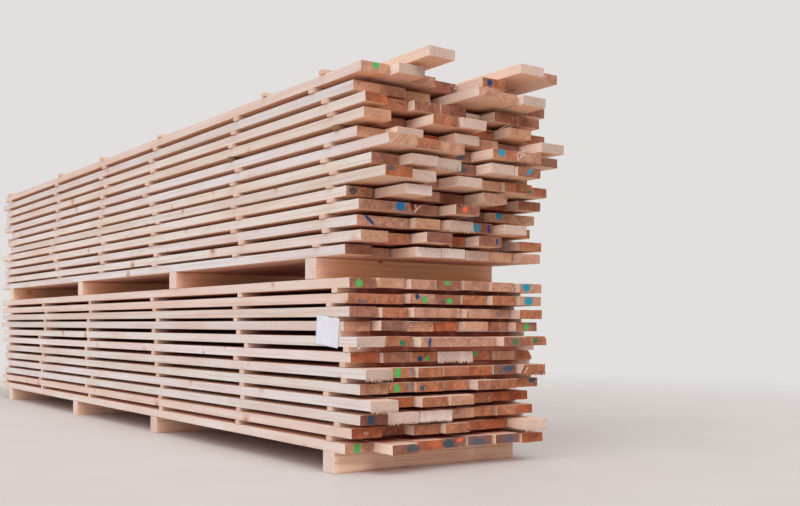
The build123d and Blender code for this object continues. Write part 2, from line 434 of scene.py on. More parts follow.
class ShaderSketch:
    """A node material in the making, with short calls for the nodes that wood, paint and paper need."""

    def __init__(self, name: str) -> None:
        """Start an empty material with its shader and output.

        Args:
            name: The material's name.
        """
        self.material = bpy.data.materials.new(name)
        self.material.use_nodes = True
        self.tree = self.material.node_tree
        self.tree.nodes.clear()
        self.output = self.add("OutputMaterial", {})
        self.surface = self.add("BsdfPrincipled", {})
        self.set_input(self.output, "Surface", self.surface.outputs["BSDF"])

    def set_input(self, node: bpy.types.Node, key: Key, value: Value) -> None:
        """Link a socket to an input, or set a plain value on it.

        Args:
            node: The node that has the input.
            key: The input's name or number.
            value: The socket or the plain value.
        """
        if isinstance(value, bpy.types.NodeSocket):
            self.tree.links.new(value, node.inputs[key])
        else:
            node.inputs[key].default_value = value

    def add(self, kind: str, inputs: Dict[Key, Value], **settings: str) -> bpy.types.Node:
        """Add a node.

        Args:
            kind: Its type, without the words that every shader node's type starts with.
            inputs: What its inputs take, by name or number.
            settings: Its settings by name, which are made before the inputs are filled.

        Returns:
            The node.
        """
        node = self.tree.nodes.new(f"ShaderNode{kind}")
        for name, setting in settings.items():
            setattr(node, name, setting)
        for key, value in inputs.items():
            self.set_input(node, key, value)
        return node

    def object_place(self) -> Socket:
        """The point's place on Object coordinates."""
        return self.add("TexCoord", {}).outputs["Object"]

    def normal(self) -> Tuple[Socket, ...]:
        """The three parts of the way that the surface faces."""
        return self.split(self.add("NewGeometry", {}).outputs["Normal"])

    def attribute(self, name: str, output: str = "Vector") -> Socket:
        """A value that is stored on the mesh."""
        return self.add("Attribute", {}, attribute_name=name).outputs[output]

    def shift(self, first: Value, second: Value) -> Socket:
        """The sum of two vectors."""
        return self.add("VectorMath", {0: first, 1: second}, operation="ADD").outputs["Vector"]

    def split(self, vector: Value) -> Tuple[Socket, ...]:
        """The three parts of a vector."""
        return tuple(self.add("SeparateXYZ", {0: vector}).outputs)

    def join(self, first: Value = 0.0, second: Value = 0.0, third: Value = 0.0) -> Socket:
        """A vector made of three parts."""
        return self.add("CombineXYZ", {0: first, 1: second, 2: third}).outputs[0]

    def math(self, operation: str, first: Value, second: Value = 0.0) -> Socket:
        """The outcome of one operation on plain numbers."""
        return self.add("Math", {0: first, 1: second}, operation=operation).outputs[0]

    def plus(self, first: Value, second: Value) -> Socket:
        """The sum of two numbers."""
        return self.math("ADD", first, second)

    def minus(self, first: Value, second: Value) -> Socket:
        """The difference of two numbers."""
        return self.math("SUBTRACT", first, second)

    def times(self, first: Value, second: Value) -> Socket:
        """The product of two numbers."""
        return self.math("MULTIPLY", first, second)

    def unsigned(self, value: Value) -> Socket:
        """A number without its sign."""
        return self.math("ABSOLUTE", value)

    def distance(self, first: Value, second: Value) -> Socket:
        """How far off a point is that lies this far one way and that far across it."""
        return self.math("SQRT", self.plus(self.math("POWER", first, 2.0), self.math("POWER", second, 2.0)))

    def noise(self, vector: Value, scale: float, detail: float = 3.0, roughness: float = 0.55) -> Socket:
        """Noise of 0 to 1 over a vector."""
        inputs = {"Vector": vector, "Scale": scale, "Detail": detail, "Roughness": roughness}
        return self.add("TexNoise", inputs).outputs["Fac"]

    def streaks(self, along: Socket, across: Socket, fineness: Tuple[float, float], scale: float,
                detail: float, roughness: float = 0.6) -> Socket:
        """Noise that is drawn out along the grain.

        Args:
            along: The point's place along the grain.
            across: Its place across the grain.
            fineness: How fine the streaks are along and across the grain.
            scale: The scale of the noise.
            detail: Its detail.
            roughness: Its roughness.

        Returns:
            The noise, of 0 to 1.
        """
        drawn = self.join(self.times(along, fineness[0]), self.times(across, fineness[1]))
        return self.noise(drawn, scale, detail, roughness)

    def cells(self, vector: Value, scale: float) -> Tuple[Socket, Socket]:
        """Scattered points on a plane: the distance to the nearest, and a colour that is its own."""
        node = self.add("TexVoronoi", {"Vector": vector, "Scale": scale}, voronoi_dimensions="2D")
        return node.outputs["Distance"], node.outputs["Color"]

    def fade(self, value: Value, start: float, end: float, low: float = 0.0, high: float = 1.0) -> Socket:
        """A smooth change from low to high as the value goes from start to end."""
        inputs = {"Value": value, "From Min": start, "From Max": end, "To Min": low, "To Max": high}
        return self.add("MapRange", inputs, interpolation_type="SMOOTHSTEP").outputs["Result"]

    def mix(self, share: Value, first: Value, second: Value, blend: str = "MIX") -> Socket:
        """A mix of two colours, or of two numbers."""
        inputs = {0: share, 6: first, 7: second}
        return self.add("Mix", inputs, data_type="RGBA", blend_type=blend).outputs[2]

    def finish(self, colour: Value, relief: Value, depth: float, strength: float, roughness: float,
               gloss: float = 0.5) -> bpy.types.Material:
        """Give the surface its colour, its relief and its gloss.

        Args:
            colour: Its colour.
            relief: The height of each point, as a share of the depth.
            depth: The depth of the relief, in metres.
            strength: How strongly the relief shows.
            roughness: How matt it is.
            gloss: How much light it mirrors.

        Returns:
            The material.
        """
        bump = self.add("Bump", {"Height": relief, "Distance": depth, "Strength": strength})
        inputs = {"Base Color": colour, "Roughness": roughness, "Specular IOR Level": gloss,
                  "Normal": bump.outputs["Normal"]}
        for key, value in inputs.items():
            self.set_input(self.surface, key, value)
        return self.material


@dataclass(frozen=True)
class SawnSide:
    """The long faces of sawn softwood: pale edges, flats with painted light, faint grain, saw marks and
    knots.

    Top is warm light painted on faces that look up, and under is bounce light painted on faces that look
    down.
    Inside a pack, painted shade covers the faces that shade each other, and inner is warm light painted on
    the upright faces of its boards. Knotty is the share of the places for a knot that have one, and figure
    is how strongly the grain shows.
    """

    name: str
    pale: Colour = linear(224, 220, 218)
    rosy: Colour = linear(220, 205, 197)
    # Painted light by facing: warm light on faces that look up, bounce light on faces that look down
    top: Colour = linear(238, 213, 195)
    under: Colour = linear(241, 196, 166)
    # Painted shade on faces inside a pack, and painted warm light on the upright faces of boards there
    painted_shade: Colour = linear(194, 108, 86)
    inner: Colour = linear(240, 218, 202)
    broad_grain: Colour = linear(210, 172, 152)
    fine_grain: Colour = linear(188, 146, 124)
    streak: Colour = linear(196, 154, 132)
    knot: Colour = linear(134, 84, 64)
    knot_rim: Colour = linear(204, 146, 118)
    across_grain: bool = False
    knotty: float = 0.3
    figure: float = 0.26
    knots_per_metre: float = 3.4
    saw_depth: float = 0.9 * MILLIMETRE

    def paint_light_and_shade(self, sketch: ShaderSketch, colour: Value) -> Socket:
        """Paint light and shade on the flats, on the upright faces between boards, and on the faces inside a
        pack.

        Args:
            sketch: The material in the making.
            colour: The colour so far, which the edges keep.

        Returns:
            The colour of each face, with its painted light and shade.
        """
        normal = sketch.normal()
        facing_up = normal[2]
        # Painted light: a warm tone on faces that look up, and bounce light on faces that look down
        colour = sketch.mix(sketch.fade(facing_up, *TOWARDS), colour, self.top)
        colour = sketch.mix(sketch.fade(facing_up, *AWAY), colour, self.under)
        x, y = (sketch.unsigned(part) for part in sketch.split(sketch.object_place())[:2])
        # Painted shade, strongest deep in the pack, fading out towards the long side, and on boards towards
        # the near end
        depth = sketch.fade(y, *SHADE_ACROSS, 1.0, 0.0)
        turned = normal[0]
        if not self.across_grain:
            turned = facing_up
            depth = sketch.times(depth, sketch.fade(x, *SHADE_ALONG, 1.0, 0.0))
            # Painted warm light on the boards' upright faces away from the long side
            upright = sketch.fade(sketch.unsigned(facing_up), *TOWARDS, 1.0, 0.0)
            between = sketch.fade(y, *LONG_SIDE, 1.0, 0.0)
            colour = sketch.mix(sketch.times(upright, between), colour, self.inner)
        # Painted shade only on covered timber, on faces that look up or down, or along X on cross timbers
        inside = sketch.times(depth, sketch.attribute("covered", "Fac"))
        inside = sketch.times(inside, sketch.fade(sketch.unsigned(turned), *TOWARDS))
        return sketch.mix(inside, colour, self.painted_shade)

    def add_knots(self, sketch: ShaderSketch, colour: Value, plane: Socket) -> Socket:
        """Scatter knots over the wood.

        Args:
            sketch: The material in the making.
            colour: The colour so far.
            plane: The point's place along and across the grain.

        Returns:
            The colour with the knots in it.
        """
        distance, own = sketch.cells(plane, self.knots_per_metre)
        chance, size, darkness = sketch.split(own)
        chosen = sketch.math("GREATER_THAN", chance, 1.0 - self.knotty)
        wobble = sketch.times(sketch.noise(plane, scale=60.0, detail=2.0), 0.04)
        reach = sketch.math("DIVIDE", sketch.plus(distance, wobble), sketch.fade(size, 0.0, 1.0, 0.55, 1.25))
        core = sketch.times(sketch.fade(reach, 0.045, 0.075, 1.0, 0.0), chosen)
        core = sketch.times(core, sketch.fade(darkness, 0.0, 1.0, 0.35, 0.95))
        rim = sketch.times(sketch.fade(reach, 0.05, 0.2, 0.6, 0.0), chosen)
        colour = sketch.mix(rim, colour, self.knot_rim)
        return sketch.mix(core, colour, self.knot)

    def build(self) -> bpy.types.Material:
        """Make the material.

        Returns:
            The material, whose grain runs along X, or along Y on a piece that lies across the pack.
        """
        sketch = ShaderSketch(self.name)
        place = sketch.shift(sketch.object_place(), sketch.attribute("seed"))
        x, y, z = sketch.split(place)
        along, side = (y, x) if self.across_grain else (x, y)
        across = sketch.plus(side, z)
        broad = sketch.streaks(along, across, fineness=(0.5, 14.0), scale=2.4, detail=4.0)
        grain = sketch.streaks(along, across, fineness=(0.9, 70.0), scale=1.0, detail=3.0)
        streak = sketch.streaks(along, across, fineness=(1.5, 160.0), scale=2.0, detail=3.0)
        saw = sketch.streaks(along, across, fineness=(260.0, 9.0), scale=1.0, detail=2.0, roughness=0.55)
        cloud = sketch.noise(place, scale=1.7)
        colour = sketch.mix(sketch.fade(cloud, 0.35, 0.7), self.pale, self.rosy)
        colour = self.paint_light_and_shade(sketch, colour)
        colour = sketch.mix(sketch.fade(broad, 0.45, 0.75, 0.0, self.figure), colour, self.broad_grain)
        colour = sketch.mix(sketch.fade(grain, 0.48, 0.66, 0.0, self.figure), colour, self.fine_grain)
        colour = sketch.mix(sketch.fade(streak, 0.5, 0.8, 0.0, 0.3), colour, self.streak)
        colour = sketch.mix(1.0, colour, sketch.attribute("tint", "Color"), "MULTIPLY")
        colour = self.add_knots(sketch, colour, sketch.join(along, across))
        relief = sketch.plus(sketch.times(saw, 0.5), sketch.times(streak, 0.5))
        return sketch.finish(colour, relief, self.saw_depth, strength=0.6, roughness=0.78, gloss=0.25)


@dataclass(frozen=True)
class EndGrain:
    """The sawn end of a board: growth rings, fine pores, drying cracks, stains and graders' paint."""

    name: str = "end_grain"
    ring_width: float = 3.2 * MILLIMETRE
    ring_bend: float = 24.0 * MILLIMETRE
    relief_depth: float = 1.4 * MILLIMETRE
    stain: Colour = linear(114, 72, 58)
    fresh: Colour = linear(230, 180, 146)
    season: Colour = linear(146, 88, 60)
    ring: Colour = linear(140, 82, 56)
    pore: Colour = linear(112, 74, 58)
    fuzz: Colour = linear(150, 108, 92)
    saw_mark: Colour = linear(124, 76, 54)
    crack: Colour = linear(58, 34, 26)

    def worn(self, sketch: ShaderSketch, fresh: float, old: float) -> Socket:
        """A number that goes from fresh to old with the wear of the end."""
        return sketch.fade(sketch.attribute("wear", "Fac"), 0.0, 1.0, fresh, old)

    def mark(self, sketch: ShaderSketch, colour: Value, place: Tuple[Socket, ...], number: int) -> Socket:
        """Lay one paint mark over the wood of the near end.

        Args:
            sketch: The material in the making.
            colour: The colour so far.
            place: The point's place on each axis.
            number: The mark's number on the board, 1 or 2.

        Returns:
            The colour with the mark on it.
        """
        x, y, z = place
        mark_y, mark_z, tilt = sketch.split(sketch.attribute(f"mark_{number}_place"))
        half_width, half_height, strength = sketch.split(sketch.attribute(f"mark_{number}_size"))
        off_y = sketch.minus(y, mark_y)
        off_z = sketch.minus(z, mark_z)
        cosine = sketch.math("COSINE", tilt)
        sine = sketch.math("SINE", tilt)
        along = sketch.plus(sketch.times(off_y, cosine), sketch.times(off_z, sine))
        over = sketch.minus(sketch.times(off_z, cosine), sketch.times(off_y, sine))
        reach = sketch.distance(sketch.math("DIVIDE", along, half_width),
                                sketch.math("DIVIDE", over, half_height))
        edge = sketch.noise(sketch.join(half_width, y, z), scale=66.0, detail=4.0, roughness=0.75)
        ragged = sketch.minus(edge, 0.5)
        faint = sketch.minus(1.0, strength)
        spread = sketch.plus(sketch.times(faint, 5.0), 1.5)
        reach = sketch.plus(reach, sketch.times(ragged, spread))
        fresh_share = sketch.fade(reach, 0.88, 1.12, 1.0, 0.0)
        faded_share = sketch.fade(reach, 0.4, 1.7, 1.0, 0.0)
        share = sketch.mix(faint, fresh_share, faded_share)
        share = sketch.times(share, sketch.fade(strength, 0.0, 1.0, 0.0, 0.97))
        share = sketch.times(share, sketch.math("GREATER_THAN", x, 0.0))
        return sketch.mix(share, colour, sketch.attribute(f"mark_{number}_colour", "Color"))

    def build(self) -> bpy.types.Material:
        """Make the material.

        Returns:
            The material, which reads where the pith, the marks and the wear of each board are.
        """
        sketch = ShaderSketch(self.name)
        place = sketch.object_place()
        seed = sketch.attribute("seed")
        seeded = sketch.shift(place, seed)
        wear = sketch.attribute("wear", "Fac")
        parts = sketch.split(place)
        y, z = parts[1:]
        seed_x, seed_y = sketch.split(seed)[:2]
        pith_y, pith_z = sketch.split(sketch.attribute("pith"))[1:]
        off_y = sketch.minus(y, pith_y)
        off_z = sketch.minus(z, pith_z)
        bend = sketch.times(sketch.noise(seeded, scale=14.0, detail=2.0), self.ring_bend)
        radius = sketch.plus(sketch.distance(off_y, off_z), bend)
        wave = sketch.math("SINE", sketch.times(radius, 2 * math.pi / self.ring_width))
        ring = sketch.fade(wave, 0.0, 1.0)
        years = sketch.join(sketch.times(radius, 150.0), seed_x, seed_y)
        season = sketch.noise(years, scale=1.0, detail=3.0, roughness=0.7)
        stain = sketch.noise(seeded, scale=15.0, detail=5.0, roughness=0.7)
        pores = sketch.noise(seeded, scale=380.0, detail=3.0, roughness=0.7)
        fuzz = sketch.noise(seeded, scale=130.0, detail=3.0, roughness=0.6)
        lean = sketch.plus(y, sketch.times(z, sketch.fade(seed_y, *SEED_ACROSS, -0.7, 0.7)))
        sawn = sketch.join(sketch.times(lean, 150.0), sketch.times(z, 6.0), seed_x)
        saw = sketch.noise(sawn, scale=1.0, detail=3.0, roughness=0.6)
        angle = sketch.math("ARCTAN2", off_z, off_y)
        spokes = sketch.join(sketch.times(angle, 9.0), sketch.times(radius, 9.0), seed_x)
        spoke = sketch.noise(spokes, scale=1.6, detail=2.0, roughness=0.5)
        crack = sketch.times(sketch.fade(spoke, 0.67, 0.71), sketch.fade(wear, 0.25, 0.7))
        colour = sketch.attribute("end_colour", "Color")
        coats = (
            (self.stain, sketch.times(sketch.fade(stain, 0.47, 0.6), sketch.times(wear, 0.75))),
            (self.fresh, sketch.times(sketch.fade(stain, 0.46, 0.3), sketch.times(wear, 0.35))),
            (self.season, sketch.times(sketch.fade(season, 0.42, 0.62), self.worn(sketch, 0.12, 0.7))),
            (self.ring, sketch.times(ring, self.worn(sketch, 0.04, 0.4))),
            (self.pore, sketch.fade(pores, 0.52, 0.75, 0.0, 0.35)),
            (self.fuzz, sketch.fade(fuzz, 0.5, 0.72, 0.0, 0.3)),
            (self.saw_mark, sketch.times(sketch.fade(saw, 0.48, 0.64), self.worn(sketch, 0.12, 0.5))),
            (self.crack, sketch.times(crack, 0.85)),
        )
        for coat, share in coats:
            colour = sketch.mix(share, colour, coat)
        for number in MARK_NUMBERS:
            colour = self.mark(sketch, colour, parts, number)
        relief = sketch.plus(sketch.times(pores, 0.6), sketch.times(ring, 0.3))
        relief = sketch.minus(relief, sketch.times(crack, 1.2))
        return sketch.finish(colour, relief, self.relief_depth, strength=0.7, roughness=0.85, gloss=0.2)


@dataclass(frozen=True)
class LabelPaper:
    """Bare white paper with a faint blue cast and soft creases."""

    name: str = "label_paper"
    light: Colour = linear(226, 228, 240)
    dark: Colour = linear(216, 217, 231)
    crease_depth: float = 1.5 * MILLIMETRE

    def build(self) -> bpy.types.Material:
        """Make the material.

        Returns:
            The material.
        """
        sketch = ShaderSketch(self.name)
        place = sketch.object_place()
        fibre = sketch.noise(place, scale=900.0, detail=2.0)
        cloud = sketch.noise(place, scale=18.0)
        colour = sketch.mix(sketch.fade(cloud, 0.3, 0.7), self.light, self.dark)
        relief = sketch.plus(sketch.times(fibre, 0.1), cloud)
        return sketch.finish(colour, relief, self.crease_depth, strength=0.5, roughness=0.62)


@dataclass(frozen=True)
class PlainFloor:
    """A pale smooth floor, which the camera sees pass into the background far away."""

    name: str = "pale_floor"
    light: Colour = linear(210, 208, 207)
    lighter: Colour = linear(215, 213, 212)
    fade_start: float = 2.6
    fade_end: float = 10.0

    def build(self) -> bpy.types.Material:
        """Make the material.

        Returns:
            The material.
        """
        sketch = ShaderSketch(self.name)
        place = sketch.object_place()
        cloud = sketch.noise(place, scale=1.3, detail=5.0, roughness=0.6)
        colour = sketch.mix(sketch.fade(cloud, 0.3, 0.7), self.light, self.lighter)
        sketch.set_input(sketch.surface, "Base Color", colour)
        sketch.set_input(sketch.surface, "Roughness", 0.7)
        x, y = sketch.split(place)[:2]
        camera_ray = sketch.add("LightPath", {}).outputs["Is Camera Ray"]
        share = sketch.times(sketch.fade(sketch.distance(x, y), self.fade_start, self.fade_end), camera_ray)
        glow = sketch.add("Emission", {"Color": BACKGROUND}).outputs["Emission"]
        blend = sketch.add("MixShader", {0: share, 1: sketch.surface.outputs["BSDF"], 2: glow})
        sketch.set_input(sketch.output, "Surface", blend.outputs["Shader"])
        return sketch.material


VERTEX_COLOURS = ("tint", "end_colour", "mark_1_colour", "mark_2_colour")
VERTEX_VECTORS = ("seed", "pith", "mark_1_place", "mark_1_size", "mark_2_place", "mark_2_size")

# How often the long faces wander in and out, and where in the noise a piece starts
SWAYS_PER_METRE = 1.9
SWAY_STARTS = (0.0, 50.0)

# How far behind its end a board is cut out of square
TRIMMED_LENGTH = 10 * MILLIMETRE

# How much wider a mark is than its own size, because its edge is ragged
PAINT_SPREAD = 1.02


class TimberPiece:
    """One sawn piece in the making: a section with eased edges, and the values that its materials read."""

    def __init__(self, box: Box, axis: int) -> None:
        """Start a plain block of the piece's size.

        Args:
            box: Its place and size.
            axis: The axis of its length.
        """
        self.box = box
        self.axis = axis
        self.mesh = bmesh.new()
        verts = self.mesh.verts.layers
        self.colours = {name: verts.float_color.new(name) for name in VERTEX_COLOURS}
        self.vectors = {name: verts.float_vector.new(name) for name in VERTEX_VECTORS}
        self.wear = verts.float.new("wear")
        # Where painted shade may fall on faces inside a pack
        self.covered = verts.float.new("covered")
        bmesh.ops.create_cube(self.mesh, size=1.0)
        bmesh.ops.scale(self.mesh, vec=box.size, verts=self.mesh.verts)
        bmesh.ops.translate(self.mesh, vec=box.middle, verts=self.mesh.verts)

    def ease(self, arris: float, cuts: int) -> None:
        """Wear the edges back, and cut loops along the length.

        Args:
            arris: How far the edges are worn back.
            cuts: The number of loops.
        """
        bmesh.ops.bevel(self.mesh, geom=self.mesh.edges[:], offset=arris, segments=2, profile=0.5,
                        affect="EDGES", material=-1, clamp_overlap=True)
        half = self.box.size[self.axis] / 2
        long_edges = [edge for edge in self.mesh.edges if edge.calc_length() > half]
        bmesh.ops.subdivide_edges(self.mesh, edges=long_edges, cuts=cuts, use_grid_fill=True)
        self.mesh.normal_update()
        for face in self.mesh.faces:
            turned_to_end = abs(face.normal[self.axis]) > TOWARDS[1]
            face.material_index = END_SLOT if turned_to_end else SIDE_SLOT

    def sway(self, depth: float, rng: random.Random) -> None:
        """Let the long faces wander inwards a little, so that the edges aren't ruled lines.

        Args:
            depth: How far they wander.
            rng: The source of its chance values.
        """
        start = Vector([rng.uniform(*SWAY_STARTS) for _ in range(3)])
        middle = self.box.middle
        for vertex in self.mesh.verts:
            for side in range(3):
                if side != self.axis:
                    wander = noise.noise(start + vertex.co * SWAYS_PER_METRE + Vector((0, 0, 7 * side)))
                    inward = depth * (0.5 + 0.5 * wander)
                    vertex.co[side] -= math.copysign(inward, vertex.co[side] - middle[side])

    def trim(self, slope_across: float, slope_up: float) -> None:
        """Cut the end at the high side of the length slightly out of square, never beyond its box.

        Args:
            slope_across: The slope across the width.
            slope_up: The slope up the thickness.
        """
        box = self.box
        for vertex in self.mesh.verts:
            if vertex.co.x > box.high.x - TRIMMED_LENGTH:
                across = vertex.co.y - (box.low.y if slope_across > 0 else box.high.y)
                up = vertex.co.z - (box.low.z if slope_up > 0 else box.high.z)
                vertex.co.x -= across * slope_across + up * slope_up

    def droop(self, length: float, depth: float) -> None:
        """Bend the free end at the high side of the length down, or up where the depth is below nothing.

        Args:
            length: How long the bent part is.
            depth: How far the end moves.
        """
        start = self.box.high.x - length
        for vertex in self.mesh.verts:
            if vertex.co.x > start:
                vertex.co.z -= depth * ((vertex.co.x - start) / length) ** 2

    def at_end(self, along: float, across: float, up: float) -> Vector:
        """A point near the near end.

        Args:
            along: How far it lies beyond the end, in metres.
            across: Its place across, as a share of the width.
            up: Its height, as a share of the thickness.

        Returns:
            The point.
        """
        box = self.box
        return Vector((box.high.x + along, box.low.y + across * box.size.y, box.low.z + up * box.size.z))

    def add_sliver(self, root: Vector, tip: Vector, thickness: float, slot: int) -> None:
        """Add one splinter: a thin four-sided spike.

        Args:
            root: Its thick end, inside the wood.
            tip: Its fine end.
            thickness: Its half width at the root.
            slot: The slot of its finish.
        """
        run = tip - root
        turn = run.to_track_quat("Z", "Y").to_matrix().to_4x4()
        place = Matrix.Translation((root + tip) / 2) @ turn
        made = bmesh.ops.create_cone(self.mesh, cap_ends=True, segments=4, radius1=thickness,
                                     radius2=thickness * 0.3, depth=run.length, matrix=place)
        for face in {face for vertex in made["verts"] for face in vertex.link_faces}:
            face.material_index = slot

    def store(self, values: Dict[str, Sequence[float]], wear: float, covered: bool) -> None:
        """Store the piece's values on its vertices.

        Args:
            values: A colour or a vector for each name.
            wear: How weathered its ends are, from 0 to 1.
            covered: Whether the faces inside the pack get painted shade, since other timber keeps the light
                off them.
        """
        layers = {**self.colours, **self.vectors}
        for vertex in self.mesh.verts:
            for name, value in values.items():
                vertex[layers[name]] = value
            vertex[self.wear] = wear
            vertex[self.covered] = float(covered)


class JoinedTimber:
    """Pieces of timber that share one object."""

    def __init__(self) -> None:
        """Start with no timber."""
        self.mesh = bmesh.new()

    def take(self, piece: TimberPiece) -> None:
        """Add one piece.

        Args:
            piece: The finished piece, which is used up.
        """
        data = bpy.data.meshes.new("piece")
        piece.mesh.to_mesh(data)
        piece.mesh.free()
        self.mesh.from_mesh(data)
        bpy.data.meshes.remove(data)

    def finish(self, name: str, materials: Sequence[bpy.types.Material]) -> bpy.types.Object:
        """Turn the timber into an object.

        Args:
            name: The object's name.
            materials: The finishes of the long faces and of the ends.

        Returns:
            The object, at the origin.
        """
        data = bpy.data.meshes.new(name)
        self.mesh.to_mesh(data)
        self.mesh.free()
        for material in materials:
            data.materials.append(material)
        return add_object(name, data)


@dataclass
class BoardLayer:
    """One layer of boards, which stands for its node in the frame.

    A span holds the lowest and the highest of the values that chance picks from. Brightness is a factor on a
    colour, and the other spans are in millimetres. A loss is what the warmest or the rosiest wood lacks in
    green and in blue.
    """

    node: str
    side: bpy.types.Material
    end: bpy.types.Material
    arris: float = 1.6 * MILLIMETRE
    cuts: int = 26
    sway: float = 1.1 * MILLIMETRE
    slant_across: float = 0.035
    slant_up: float = 0.06
    bent_length: float = 0.35
    highest_bend: float = 2.5 * MILLIMETRE
    lowest_bend: float = 3.5 * MILLIMETRE
    brightness: Span = (0.91, 1.03)
    end_brightness: Span = (0.88, 1.1)
    plain_share: float = 0.985
    warm_loss: Tuple[float, float] = (0.025, 0.07)
    blush_loss: Tuple[float, float] = (0.03, 0.025)
    pith_distance: Span = (5.0, 60.0)
    torn_depth: float = 15 * MILLIMETRE
    torn_clumps_per_metre: float = 70.0
    torn_margin: float = 2 * MILLIMETRE
    torn_root_height: float = 5 * MILLIMETRE
    torn_root_setback: Span = (0.5, 3.0)
    torn_tip_reach: Span = (-2.0, 3.0)
    torn_lean: Span = (-5.0, 5.0)
    torn_half_width: Span = (3.0, 5.5)
    torn_spacing: Span = (3.0, 9.0)
    rough_margin: float = 4 * MILLIMETRE
    rough_root_depth: float = 3 * MILLIMETRE
    rough_run: Tuple[Span, Span, Span] = ((-30.0, 30.0), (-7.0, -4.0), (-7.0, 5.0))
    rough_half_width: Span = (1.5, 3.0)
    frayed_root_depth: float = 4 * MILLIMETRE
    frayed_run: Tuple[Span, Span, Span] = ((3.0, 9.0), (-12.0, 12.0), (-9.0, 14.0))
    frayed_half_width: Span = (2.5, 5.0)
    rng: random.Random = field(init=False)

    def __post_init__(self) -> None:
        """Seed the layer's own chance values by its name."""
        self.rng = random.Random(self.node)

    def some(self, span: Span) -> float:
        """A chance length from a span in millimetres."""
        return self.rng.uniform(*span) * MILLIMETRE

    def paint(self, box: Box, mark: Optional[Mark], number: int) -> Dict[str, Sequence[float]]:
        """The values of one paint mark.

        Args:
            box: The board's place and size.
            mark: The mark, or None where the board has no such mark.
            number: The mark's number on the board.

        Returns:
            The mark's place with its tilt, half its size with its strength, and its colour, by their names.
        """
        place = (0.0, -9.0, 0.0)
        size = (0.01, 0.01, 0.0)
        colour: Colour = (0.5, 0.5, 0.5, 1.0)
        if mark is not None:
            place = (box.low.y + mark.across * box.size.y, box.low.z + mark.up * box.size.z,
                     math.radians(mark.tilt))
            half = PAINT_SPREAD / 2 * MILLIMETRE
            size = (mark.width * half, mark.height * half, mark.strength)
            colour = mark.paint.value
        parts = {"place": place, "size": size, "colour": colour}
        return {f"mark_{number}_{name}": part for name, part in parts.items()}

    def values(self, box: Box, place: int, finish: EndFinish) -> Dict[str, Sequence[float]]:
        """The values that one board's materials read.

        Args:
            box: The board's place and size.
            place: Its number from the long side.
            finish: The look of its near end.

        Returns:
            A colour or a vector for each name.
        """
        rng = self.rng
        warmth = rng.uniform(-1.0, 1.0)
        level = rng.uniform(*self.brightness)
        blush = rng.uniform(-1.0, 1.0)
        tint = (level, *(level * (self.plain_share - warm * warmth - rosy * blush)
                         for warm, rosy in zip(self.warm_loss, self.blush_loss)), 1.0)
        shade = rng.uniform(*self.end_brightness)
        red, green, blue, _ = END_COLOURS[finish]
        above = rng.random() < 0.5
        reach = self.some(self.pith_distance)
        pith_z = box.high.z + reach if above else box.low.z - reach
        pith_y = box.middle.y + rng.uniform(-0.5, 0.5) * box.size.y
        values: Dict[str, Sequence[float]] = {
            "tint": PEACH_TINT if (self.node, place) in PEACH_BOARDS else tint,
            "end_colour": (red * shade, green * shade, blue * shade, 1.0),
            "seed": (rng.uniform(*SEED_ALONG), rng.uniform(*SEED_ACROSS), rng.uniform(*SEED_ACROSS)),
            "pith": (0.0, pith_y, pith_z),
        }
        marks = [mark for mark in MARKS if (mark.layer, mark.board) == (self.node, place)]
        for number in MARK_NUMBERS:
            mark = marks[number - 1] if number <= len(marks) else None
            values.update(self.paint(box, mark, number))
        return values

    def tear(self, board: TimberPiece) -> None:
        """Hang torn fibres from the lower edge of a board's near end.

        Args:
            board: The board.
        """
        low, high = board.box.low, board.box.high
        y = low.y + self.torn_margin
        while y < high.y - self.torn_margin:
            clump = 0.5 + 0.5 * noise.noise(Vector((y * self.torn_clumps_per_metre, low.z * 9, 0.0)))
            drop = (0.3 + 0.7 * self.rng.random() * clump * 1.4) * self.torn_depth
            root = Vector((high.x - self.some(self.torn_root_setback), y, low.z + self.torn_root_height))
            tip = Vector((high.x + self.some(self.torn_tip_reach), y + self.some(self.torn_lean),
                          low.z - drop))
            board.add_sliver(root, tip, self.some(self.torn_half_width), END_SLOT)
            y += self.some(self.torn_spacing)

    def roughen(self, board: TimberPiece, stretch: RoughStretch) -> None:
        """Raise short slivers along the lower edge of a board's long side at the low end of Y.

        Args:
            board: The board.
            stretch: The rough part of its side.
        """
        box = board.box
        rng = self.rng
        for _ in range(stretch.slivers):
            up = min(abs(rng.gauss(0, 0.22)), 0.9)
            behind = rng.uniform(stretch.start * MILLIMETRE, stretch.end * MILLIMETRE)
            height = box.low.z + self.rough_margin + up * (box.size.z - 2 * self.rough_margin)
            root = Vector((box.high.x - behind, box.low.y + self.rough_root_depth, height))
            run = Vector([rng.uniform(*span) for span in self.rough_run]) * MILLIMETRE
            board.add_sliver(root, root + run, self.some(self.rough_half_width), SIDE_SLOT)

    def fray(self, board: TimberPiece, patch: FrayedPatch) -> None:
        """Raise a patch of short slivers on a board's near end.

        Args:
            board: The board.
            patch: The place and the size of the patch.
        """
        rng = self.rng
        spread = patch.spread * MILLIMETRE
        middle = board.at_end(0.0, patch.across, patch.up)
        for _ in range(patch.slivers):
            slot = rng.choice((SIDE_SLOT, END_SLOT))
            away = Vector((0, rng.uniform(-1, 1) * spread / 2, rng.uniform(-0.6, 0.6) * spread / 2))
            run = Vector([rng.uniform(*span) for span in self.frayed_run]) * MILLIMETRE
            root = middle + away - Vector((self.frayed_root_depth, 0, 0))
            board.add_sliver(root, root + run, self.some(self.frayed_half_width), slot)

